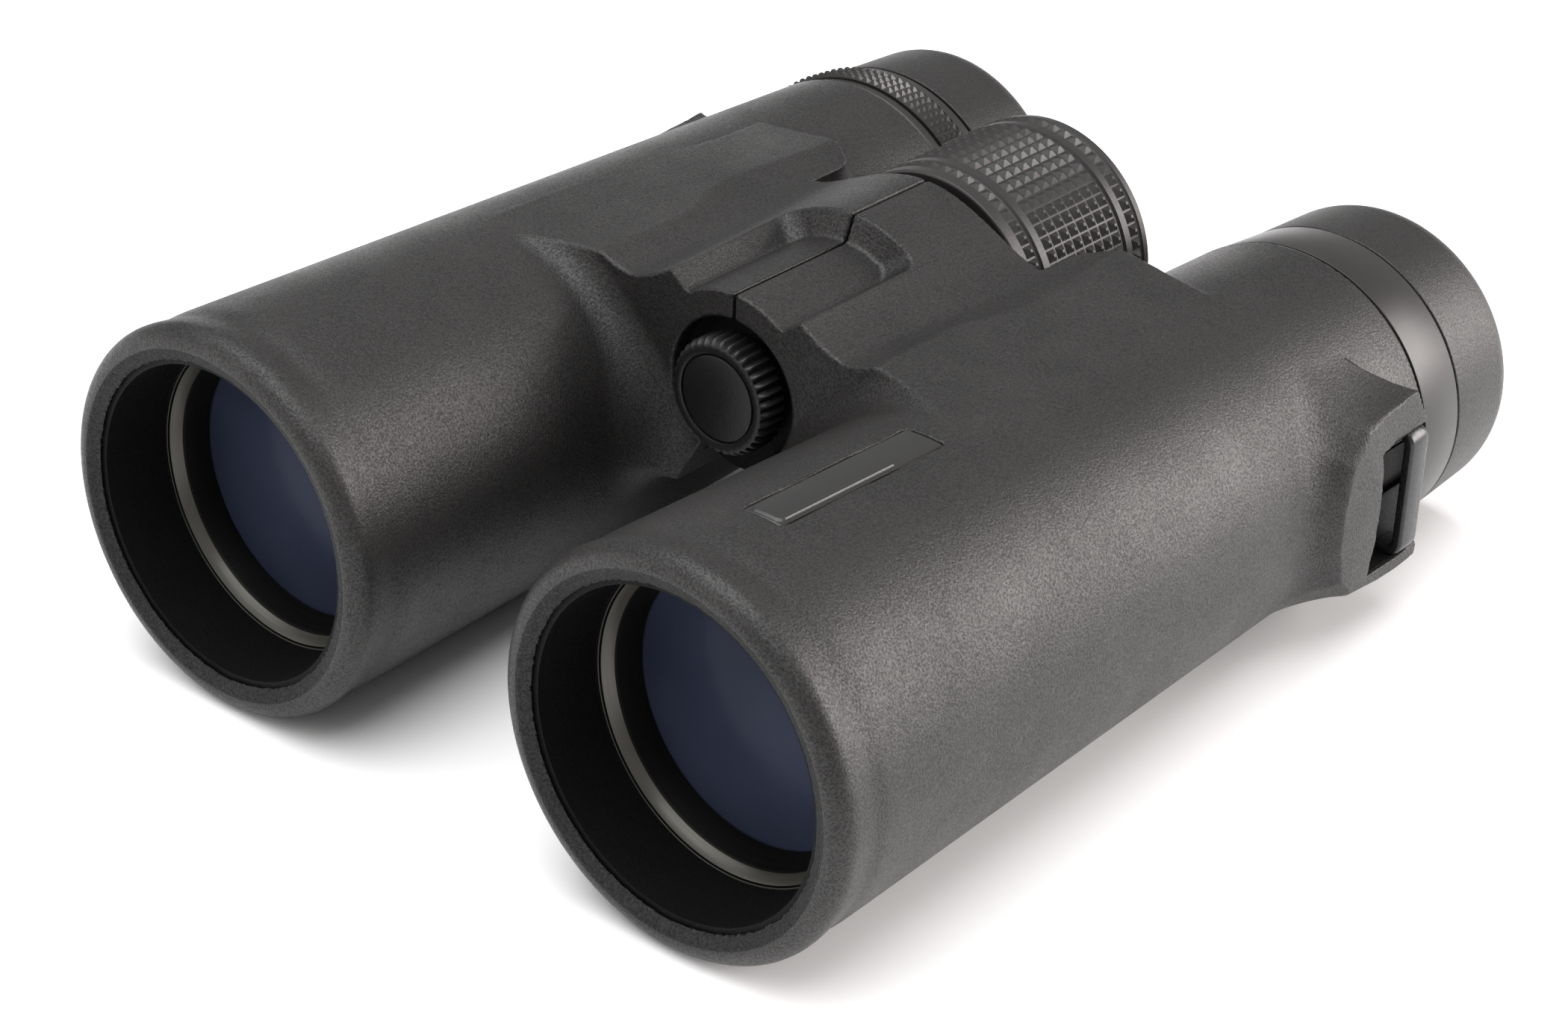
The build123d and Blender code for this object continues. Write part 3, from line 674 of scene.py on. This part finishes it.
def paint_mouth_shade(material, radius, depth, dark, more_rough):
    """Paints shade on the flat lips round the objectives: their colour is darker than the rest of the
    armour, and their gloss duller.
    """
    tree = material.node_tree
    shader = next(n for n in tree.nodes if n.type == "BSDF_PRINCIPLED")
    axes = tree.nodes.new("ShaderNodeSeparateXYZ")
    position = next(n for n in tree.nodes if n.type == "TEX_COORD").outputs["Object"]
    tree.links.new(position, axes.inputs[0])
    sideways = math_node(tree, "ABSOLUTE", axes.outputs["X"])
    across = math_node(tree, "SUBTRACT", sideways, HALF_IPD * MM)
    upward = math_node(tree, "SUBTRACT", axes.outputs["Z"], AXIS_HEIGHT * MM)
    squares = [math_node(tree, "MULTIPLY", offset, offset) for offset in (across, upward)]
    off_axis = math_node(tree, "SQRT", math_node(tree, "ADD", *squares))
    inner = math_node(tree, "LESS_THAN", off_axis, radius * MM)
    ahead = math_node(tree, "LESS_THAN", axes.outputs["Y"], (FRONT + depth) * MM)
    mouth = math_node(tree, "MULTIPLY", inner, ahead)
    # painted shade: the darker colour is mixed in on the flat lips near the front
    mix = tree.nodes.new("ShaderNodeMixRGB")
    tree.links.new(mouth, mix.inputs["Fac"])
    tree.links.new(shader.inputs["Base Color"].links[0].from_socket, mix.inputs["Color1"])
    mix.inputs["Color2"].default_value = (*dark, 1)
    tree.links.new(mix.outputs["Color"], shader.inputs["Base Color"])
    duller = math_node(tree, "MULTIPLY", mouth, more_rough)
    rough = shader.inputs["Roughness"]
    tree.links.new(math_node(tree, "ADD", rough.links[0].from_socket, duller), rough)


def turned(name, dark, light, rough, metallic=1.0, specular=0.5):
    """Machined metal with fine lines round the axis."""
    lines, stretch, depth = 2600.0, 0.02, 0.00002
    material, tree, shader, position = material_tree(name)
    mapping = tree.nodes.new("ShaderNodeMapping")
    mapping.inputs["Scale"].default_value = (stretch, 1.0, stretch)
    tree.links.new(position, mapping.inputs["Vector"])
    rings = noise(tree, mapping.outputs["Vector"], lines, 2.0, 0.5)
    broad = noise(tree, position, 90.0, 3.0, 0.5)
    tree.links.new(tint(tree, broad, dark, light), shader.inputs["Base Color"])
    tree.links.new(spread(tree, rings, rough[0], rough[1]), shader.inputs["Roughness"])
    shader.inputs["Metallic"].default_value = metallic
    shader.inputs["Specular IOR Level"].default_value = specular
    bump(tree, shader, rings, depth)
    return material


def glass(name, colour, deep, rough, transmission, specular):
    """Lens glass: clear, or with the dark bloom of a coated lens over a black barrel."""
    material, tree, shader, position = material_tree(name)
    broad = noise(tree, position, 45.0, 2.0, 0.4)
    dust = noise(tree, position, 2600.0, 2.0, 0.5)
    tree.links.new(tint(tree, broad, deep, colour, 0.35, 0.65), shader.inputs["Base Color"])
    tree.links.new(spread(tree, dust, rough[0], rough[1], 0.55, 0.75), shader.inputs["Roughness"])
    shader.inputs["Transmission Weight"].default_value = transmission
    shader.inputs["IOR"].default_value = 1.52
    shader.inputs["Specular IOR Level"].default_value = specular
    bump(tree, shader, broad, 0.00001)
    return material


SLOTS = {
    "armour_rubber": grained("armour_rubber", (0.004, 0.0037, 0.0036), (0.020, 0.0185, 0.0179),
                             (0.30, 0.52), 3400.0, 0.00009, 70.0, specular=0.38, sparkle=0.32),
    "eyecup_rubber": grained("eyecup_rubber", (0.008, 0.0074, 0.0072), (0.017, 0.0157, 0.0152),
                             (0.34, 0.46), 3600.0, 0.00007, 80.0, specular=0.40, sparkle=0.28),
    "grip_rubber": grained("grip_rubber", (0.012, 0.011, 0.0107), (0.020, 0.0184, 0.0178),
                           (0.38, 0.50), 4800.0, 0.00003, 90.0, specular=0.42),
    "seal_rubber": grained("seal_rubber", (0.010, 0.010, 0.010), (0.022, 0.021, 0.020),
                           (0.45, 0.6), 4000.0, 0.00003),
    "collar_satin": grained("collar_satin", (0.014, 0.013, 0.0125), (0.022, 0.0205, 0.0198),
                            (0.28, 0.36), 7000.0, 0.00002, 120.0, specular=0.4),
    "cast_black": grained("cast_black", (0.003, 0.003, 0.0033), (0.007, 0.007, 0.0074),
                          (0.45, 0.65), 3600.0, 0.00010, specular=0.10),
    "cell_black": turned("cell_black", (0.002, 0.002, 0.002), (0.004, 0.004, 0.004), (0.4, 0.55), 0.0,
                         specular=0.12),
    "retainer_grey": turned("retainer_grey", (0.062, 0.060, 0.053), (0.088, 0.084, 0.075),
                            (0.28, 0.42), 0.6, specular=0.3),
    "moulded_black": grained("moulded_black", (0.004, 0.004, 0.004), (0.009, 0.009, 0.009),
                             (0.30, 0.42), 4200.0, 0.00004, specular=0.35),
    "plate_black": grained("plate_black", (0.012, 0.0115, 0.011), (0.019, 0.018, 0.0175),
                           (0.24, 0.36), 6000.0, 0.00001, 140.0),
    "coated_glass": glass("coated_glass", (0.032, 0.039, 0.066), (0.021, 0.026, 0.045), (0.20, 0.30),
                          0.0, 0.05),
    "optical_glass": glass("optical_glass", (0.92, 0.95, 0.95), (0.88, 0.92, 0.93), (0.01, 0.05),
                           0.9, 0.5),
    "strap_bar_metal": grained("strap_bar_metal", (0.010, 0.010, 0.011), (0.020, 0.020, 0.022),
                               (0.20, 0.30), 1800.0, 0.00003, 200.0, metallic=0.2),
    "steel": turned("steel", (0.42, 0.42, 0.42), (0.55, 0.55, 0.55), (0.18, 0.35)),
    "bronze": turned("bronze", (0.42, 0.28, 0.12), (0.55, 0.38, 0.18), (0.22, 0.4)),
}

# painted shade: the flat front lips round both objectives get a darker colour than the rest of the
# armour rubber
paint_mouth_shade(SLOTS["armour_rubber"], radius=23.55, depth=1.5, dark=(0.003, 0.0028, 0.0027),
              more_rough=0.25)

for part in frame["record"]["subparts"]:
    node = frame["nodes"][part["node"]]
    node.data.materials.clear()
    node.data.materials.append(SLOTS[part["material_slot"]])


# ---------------------------------------------------------------- armour and what is on it
KNUCKLES = {"left": [(56.5, 61.5), (87.2, 91.5)], "right": [(61.8, 66.8), (82.8, 86.9)]}
for half, side in SIDES.items():
    build_armour(half, side, KNUCKLES[half], plate=half == "left")


def build_nameplate():
    """Blank plate on the left barrel: a thin curved plate with a raised, rounded panel."""
    half, start, end = PLATE["half_width"], PLATE["start"], PLATE["end"]
    columns, rows = 41, 169
    thickness, sunk, rim_rise, rim_width = 0.40, 0.20, 0.10, 0.12
    panel_half, panel_start, panel_end = half - 0.55, 16.3, end - 7.9
    panel_corner, panel_rise, panel_flank = 0.8, 0.24, 0.20
    points = []
    for s in np.linspace(start, end, rows):
        for x in np.linspace(-half, half, columns):
            beyond = max(abs(x) - panel_half, panel_start - s, s - panel_end)
            past_side = max(abs(x) - (panel_half - panel_corner), 0)
            past_end = max(s - (panel_end - panel_corner), panel_start + panel_corner - s, 0)
            beyond = max(beyond, math.hypot(past_side, past_end) - panel_corner)
            raised = panel_rise * (1 - min(max(beyond / panel_flank, 0.0), 1.0))
            rim = rim_rise * min(min(half - abs(x), s - start, end - s) / rim_width, 1.0)
            height = cone_radius(s) - sunk + rim + raised
            off_axis = x + PLATE["x"] - HALF_IPD
            points.append((PLATE["x"] + x, s, math.sqrt(height ** 2 - off_axis ** 2)))
    top = len(points)
    points += [(p[0], p[1], p[2] - thickness) for p in points]
    faces = []
    for i in range(rows - 1):
        for j in range(columns - 1):
            a = i * columns + j
            faces.append((a, a + 1, a + columns + 1, a + columns))
            faces.append((top + a, top + a + columns, top + a + columns + 1, top + a + 1))
    rim = list(range(columns)) + [i * columns + columns - 1 for i in range(1, rows)]
    rim += [(rows - 1) * columns + j for j in range(columns - 2, -1, -1)]
    rim += [i * columns for i in range(rows - 2, 0, -1)]
    for a, b in zip(rim, rim[1:] + rim[:1]):
        faces.append((a, top + a, top + b, b))
    plate = new_piece("blank_nameplate", place(points), faces, "left_half", SLOTS["plate_black"], 35)
    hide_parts("nameplate")


build_nameplate()


def build_strap_bar(half, side):
    """Staple of flat bar across the pocket, with bent legs that go into the lug."""
    start, end, low, high = 115.35, 119.25, -10.6, 6.6
    leg_x, face_x, bend = POCKET_FLOOR + 0.1, 62.35, 1.5
    thickness, edge = 1.5, 0.45
    across = thickness / 2
    path = rounded([(leg_x, low), (face_x, low), (face_x, high), (leg_x, high)], [0, bend, bend, 0], 6)
    path = [np.array(p) for p in path]
    section = rounded([(-across, start), (across, start), (across, end), (-across, end)], edge, 3)
    rings = []
    for i, p in enumerate(path):
        before, after = path[max(i - 1, 0)], path[min(i + 1, len(path) - 1)]
        along = (after - before) / np.linalg.norm(after - before)
        outward = np.array([along[1], -along[0]])
        rings.append([(side * (p[0] + outward[0] * u), s, p[1] + outward[1] * u) for u, s in section])
    count = len(section)
    points = [q for ring in rings for q in ring]
    faces = []
    for i in range(len(rings) - 1):
        for j in range(count):
            k = (j + 1) % count
            quad = (i * count + j, i * count + k, (i + 1) * count + k, (i + 1) * count + j)
            faces.append(quad if side > 0 else quad[::-1])
    first = tuple(range(count))
    last = tuple(range((len(rings) - 1) * count, len(rings) * count))
    faces += [first[::-1], last] if side > 0 else [first, last[::-1]]
    bar = new_piece(f"{half}_strap_staple", place(points), faces, f"{half}_half",
                    SLOTS["strap_bar_metal"], 35)
    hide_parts(f"{half}_strap_bar")


for half, side in SIDES.items():
    build_strap_bar(half, side)


# ---------------------------------------------------------------- round pieces
def build_objective(half, side):
    """Retaining ring with a bright front cone, and the domed front lens behind it."""
    centre = (side * HALF_IPD, 0.0)
    face = station(f"{half}_objective_retainer", 0)
    outer, cone_outer, cone_inner, clear = 20.82, 20.36, 19.36, 17.95
    outline = [(outer, face), (20.58, face), (20.54, face + 0.4), (20.42, face + 0.4),
               (cone_outer, face + 0.12), (cone_inner, face + 1.5), (19.2, face + 1.75),
               (clear, face + 4.8), (outer, face + 4.8)]
    radii = [0.05, 0.06, 0, 0, 0.05, 0.1, 0.1, 0.1, 0]
    retainer = lathe(f"{half}_retaining_ring", rounded(outline, radii, 3),
                     f"{half}_half", SLOTS["cell_black"], centre, 160)
    retainer.data.materials.append(SLOTS["retainer_grey"])
    for polygon in retainer.data.polygons:
        middle = polygon.center
        r = math.hypot(middle.x / MM - centre[0], middle.z / MM - AXIS_HEIGHT)
        s = middle.y / MM - FRONT
        on_cone = cone_inner - 0.02 < r < cone_outer + 0.04 and s < face + 1.55
        on_rim = s < face + 0.06
        polygon.material_index = int(on_cone or on_rim)
    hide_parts(f"{half}_objective_retainer")
    apex, radius, sag, back, back_sag, steps = 14.4, 20.3, 2.08, 18.6, 2.8, 24
    curve = (radius ** 2 + sag ** 2) / (2 * sag)
    outline = [(0.0, apex)]
    for i in range(1, steps + 1):
        r = radius * i / steps
        outline.append((r, apex + curve - math.sqrt(curve ** 2 - r ** 2)))
    outline += [(radius, back), (0.0, back + back_sag)]
    lens = dome_lathe(f"{half}_objective_front_lens", outline, f"{half}_half",
                      SLOTS["coated_glass"], centre, 128)
    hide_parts(f"{half}_objective_crown_lens")


def build_eyecup(half, side):
    """Soft cover of the eyecup, with a rolled rear edge turned in at the mouth."""
    centre = (side * HALF_IPD, 0.0)
    start, end = station(f"{half}_eyecup_rubber", 0), station(f"{half}_eyecup_rubber", 1)
    bore, mouth, lip = 20.05, 13.4, 14.15
    outline = [(bore, start), (21.33, start), (20.72, end - 1.9), (19.9, end), (14.5, end),
               (mouth, end - 0.9), (mouth, end - 2.3), (lip, end - 2.3), (lip, end - 0.85),
               (bore, end - 0.85)]
    radii = [0.1, 0.22, 5.0, 1.6, 0.9, 0.6, 0.3, 0.1, 0.1, 0.1]
    cover = lathe(f"{half}_eyecup_cover", rounded(outline, radii, 6), f"{half}_eyecup",
                  SLOTS["eyecup_rubber"], centre, 160)
    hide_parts(f"{half}_eyecup_rubber")


for half, side in SIDES.items():
    build_objective(half, side)
    build_eyecup(half, side)


COLLAR_FRONT, COLLAR_REAR = 22.15, 21.35     # radius of the collar and of the diopter ring


def build_collar():
    """Plain satin collar of the left eyepiece, with a fine step at its front."""
    start, end = station("left_eyepiece_collar", 0), station("left_eyepiece_collar", 1)
    bore, step_radius, step = 18.25, 21.75, 0.22
    corners = [(bore, start), (step_radius, start), (step_radius, start + step),
               (COLLAR_FRONT, start + step), (COLLAR_REAR, end), (bore, end)]
    collar = lathe("left_eyepiece_ring", rounded(corners, [0.1, 0, 0, 0.12, 0.25, 0.1], 4),
                   "left_half", SLOTS["collar_satin"], (HALF_IPD, 0.0), 160)
    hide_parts("left_eyepiece_collar")


def build_diopter_ring():
    """Diopter ring: a band of fine pyramids between two grooves."""
    start, end = station("diopter_ring", 0), station("diopter_ring", 1)
    front = COLLAR_FRONT + 0.02
    body = lambda s: front + (COLLAR_REAR - front) * (s - start) / (end - start)
    pitch, rows, depth, teeth = 1.3, 4, 0.62, 100
    bore_radius, recess_radius, recess_front, recess_end = 18.3, 19.7, 125.1, 130.9
    knurl = start + 2.05
    columns = [(start, body(start) - 0.9, None), (start, body(start) - 0.35, None),
               (start + 0.25, body(start) - 0.15, None), (knurl - 0.42, body(knurl) - 0.17, None),
               (knurl - 0.38, body(knurl) - 1.1, None), (knurl, body(knurl) - 1.1, None),
               (knurl + 0.02, body(knurl) + 0.02, None)]
    columns += pyramid_rows(knurl, pitch, rows, lambda s: body(s) + 0.02)
    after = knurl + rows * pitch
    columns += [(after + 0.02, body(after) - 0.02, None), (after + 0.05, body(after) - 0.7, None),
                (after + 0.3, body(after) - 0.7, None), (after + 0.34, body(after) - 0.1, None),
                (end - 0.3, body(end) - 0.06, None), (end, body(end) - 0.35, None)]
    bore = [(bore_radius, end), (bore_radius, recess_end), (recess_radius, recess_end),
            (recess_radius, recess_front), (bore_radius, recess_front), (bore_radius, start)]
    ring = knurled_ring("diopter_adjustment_ring", columns, bore, teeth, depth, "diopter_ring",
                        SLOTS["collar_satin"], (-HALF_IPD, 0.0))
    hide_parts("diopter_ring")


def build_wheel_grip():
    """Grip of the focus wheel: a field of pyramids between two plain bands, and one row of
    pyramids outside each band."""
    start, end = station("focus_wheel_grip", 0), station("focus_wheel_grip", 1)
    radius, depth, pitch, rows, teeth, bore = 17.24, 0.62, 1.9, 8, 56, 14.55
    front_land, front_band, rear_band, below_tips = 2.2, 1.95, 1.85, 0.18
    floor = radius - depth
    plain = radius - below_tips
    first = start + front_land
    field = first + pitch + front_band
    last = field + rows * pitch + rear_band
    at = lambda s: floor
    columns = [(start, plain - 0.3, None), (start + 0.1, plain - 0.09, None),
               (start + 0.25, plain - 0.01, None), (start + 0.5, plain, None),
               (first - 0.35, plain, None), (first - 0.1, floor + 0.1, None)]
    columns += pyramid_rows(first, pitch, 1, at)
    columns += [(first + pitch + 0.1, floor + 0.1, None), (first + pitch + 0.35, plain, None),
                (field - 0.35, plain, None), (field - 0.1, floor + 0.05, None)]
    columns += pyramid_rows(field, pitch, rows, at)
    after = field + rows * pitch
    columns += [(after + 0.1, floor + 0.05, None), (after + 0.35, plain, None),
                (last - 0.35, plain, None), (last - 0.1, floor + 0.1, None)]
    columns += pyramid_rows(last, pitch, 1, at)
    columns += [(last + pitch + 0.1, floor + 0.1, None), (last + pitch + 0.3, plain - 0.1, None),
                (end - 0.9, plain - 0.2, None), (end - 0.35, plain - 0.7, None),
                (end, plain - 1.4, None)]
    grip = knurled_ring("focus_wheel_knurl", columns, [(bore, end), (bore, start)], teeth, depth,
                        "focus_wheel", SLOTS["grip_rubber"], (0.0, HINGE_RISE))
    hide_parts("focus_wheel_grip")


def build_tripod_cap():
    """Front cap with scalloped edge and a fine groove on its face."""
    front = station("tripod_cap", 0)
    segments, flutes, sharpness = 288, 36, 1.6
    angles = np.arange(segments) * 2 * math.pi / segments
    wave = np.abs(np.cos(angles * flutes / 2)) ** sharpness
    centre = (0.0, HINGE_RISE)
    rim, deep, hub, neck, spigot, base, tip = 7.95, 0.55, 0.6, 7.3, 4.72, 55.7, 58.2
    fluted = lambda radius, share: radius - deep * share * (1 - wave)
    rings = [(hub, front + 0.06), (5.6, front + 0.06), (5.72, front + 0.12), (5.8, front + 0.45),
             (6.0, front + 0.45), (6.08, front + 0.08), (6.2, front), (7.0, front),
             (fluted(7.35, 0.3), front + 0.12), (fluted(7.7, 1.0), front + 0.45),
             (fluted(rim, 1.0), front + 1.0), (fluted(rim, 1.0), front + 4.0),
             (neck, front + 4.4), (neck, base), (spigot, base), (spigot, tip), (hub, tip)]
    points = lathe_grid(rings, segments, *centre)
    faces = lathe_faces(len(rings), segments, closed=False)
    last_ring = (len(rings) - 1) * segments
    faces.append(tuple(range(segments))[::-1])
    faces.append(tuple(last_ring + j for j in range(segments)))
    cap = new_piece("tripod_socket_cap", place(points), faces, "tripod_cap", SLOTS["moulded_black"], 35)
    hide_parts("tripod_cap")


build_collar()
build_diopter_ring()
build_wheel_grip()
build_tripod_cap()


# ---------------------------------------------------------------- floor, light and camera
def build_floor():
    """Pale floor, tipped by the taper of the barrels, since the object lies on it."""
    eyecup_radius, rim_contact, eyecup_contact = 20.75, 3.0, 3.5
    run = station("left_eyecup_rubber", 1) - eyecup_contact
    tilt = math.atan2(AXIS_HEIGHT - eyecup_radius, run)
    reach = 6.0
    mesh = bpy.data.meshes.new("floor")
    corners = [(-reach, -reach, 0), (reach, -reach, 0), (reach, reach, 0), (-reach, reach, 0)]
    mesh.from_pydata(corners, [], [(0, 1, 2, 3)])
    floor = bpy.data.objects.new("floor", mesh)
    bpy.context.scene.collection.objects.link(floor)
    floor.location = (0, (FRONT + rim_contact) * MM, -0.0001)
    floor.rotation_euler = (tilt, 0, 0)
    material, tree, shader, position = material_tree("floor_white")
    shade = noise(tree, position, 3.0, 2.0, 0.5)
    pale = tint(tree, shade, (0.90, 0.90, 0.90), (0.93, 0.93, 0.93))
    tree.links.new(pale, shader.inputs["Base Color"])
    shader.inputs["Roughness"].default_value = 0.9
    shader.inputs["Specular IOR Level"].default_value = 0.1
    mesh.materials.append(material)


build_floor()

AZIMUTH, ELEVATION, ROLL = (math.radians(v) for v in (39.614, 29.419, 2.423))
CAMERA_PLACE = (0.28163, -0.34862, 0.26696)
LENS, SENSOR = 88.99, 36.0


def build_camera():
    level = math.cos(ELEVATION)
    back = Vector((math.sin(AZIMUTH) * level, -math.cos(AZIMUTH) * level, math.sin(ELEVATION)))
    right = Vector((math.cos(AZIMUTH), math.sin(AZIMUTH), 0))
    up = back.cross(right)
    rolled_right = math.cos(ROLL) * right + math.sin(ROLL) * up
    rolled_up = -math.sin(ROLL) * right + math.cos(ROLL) * up
    data = bpy.data.cameras.new("camera")
    data.lens, data.sensor_width = LENS, SENSOR
    data.clip_start, data.clip_end = 0.01, 50
    camera = bpy.data.objects.new("camera", data)
    camera.matrix_world = Matrix([[rolled_right[i], rolled_up[i], back[i], CAMERA_PLACE[i]]
                                  for i in range(3)] + [[0, 0, 0, 1]])
    bpy.context.scene.collection.objects.link(camera)
    bpy.context.scene.camera = camera


def build_light(name, place_at, target, size, energy, colour):
    data = bpy.data.lights.new(name, "AREA")
    data.shape = "RECTANGLE"
    data.size, data.size_y = size
    data.energy = energy
    data.color = colour
    light = bpy.data.objects.new(name, data)
    light.location = place_at
    aim = Vector(target) - Vector(place_at)
    light.rotation_euler = aim.to_track_quat("-Z", "Y").to_euler()
    bpy.context.scene.collection.objects.link(light)


def build_studio():
    world = bpy.data.worlds.new("studio")
    world.use_nodes = True
    ambient = 0.46
    background = world.node_tree.nodes["Background"]
    background.inputs["Color"].default_value = (1, 1, 1, 1)
    background.inputs["Strength"].default_value = ambient
    bpy.context.scene.world = world
    middle = (0, 0, 0.03)
    build_light("overhead_softbox", (-0.1, -0.3, 1.5), middle, (2.0, 1.8), 40.0, (1.0, 1.0, 1.0))
    build_light("side_softbox", (0.82, 0.80, 0.42), middle, (0.9, 0.6), 19.5, (1.0, 0.94, 0.92))
    build_light("front_softbox", (-0.75, -1.05, 0.40), middle, (0.9, 0.5), 4.0, (1.0, 0.96, 0.95))


build_camera()
build_studio()
bpy.context.scene.view_settings.view_transform = "Standard"
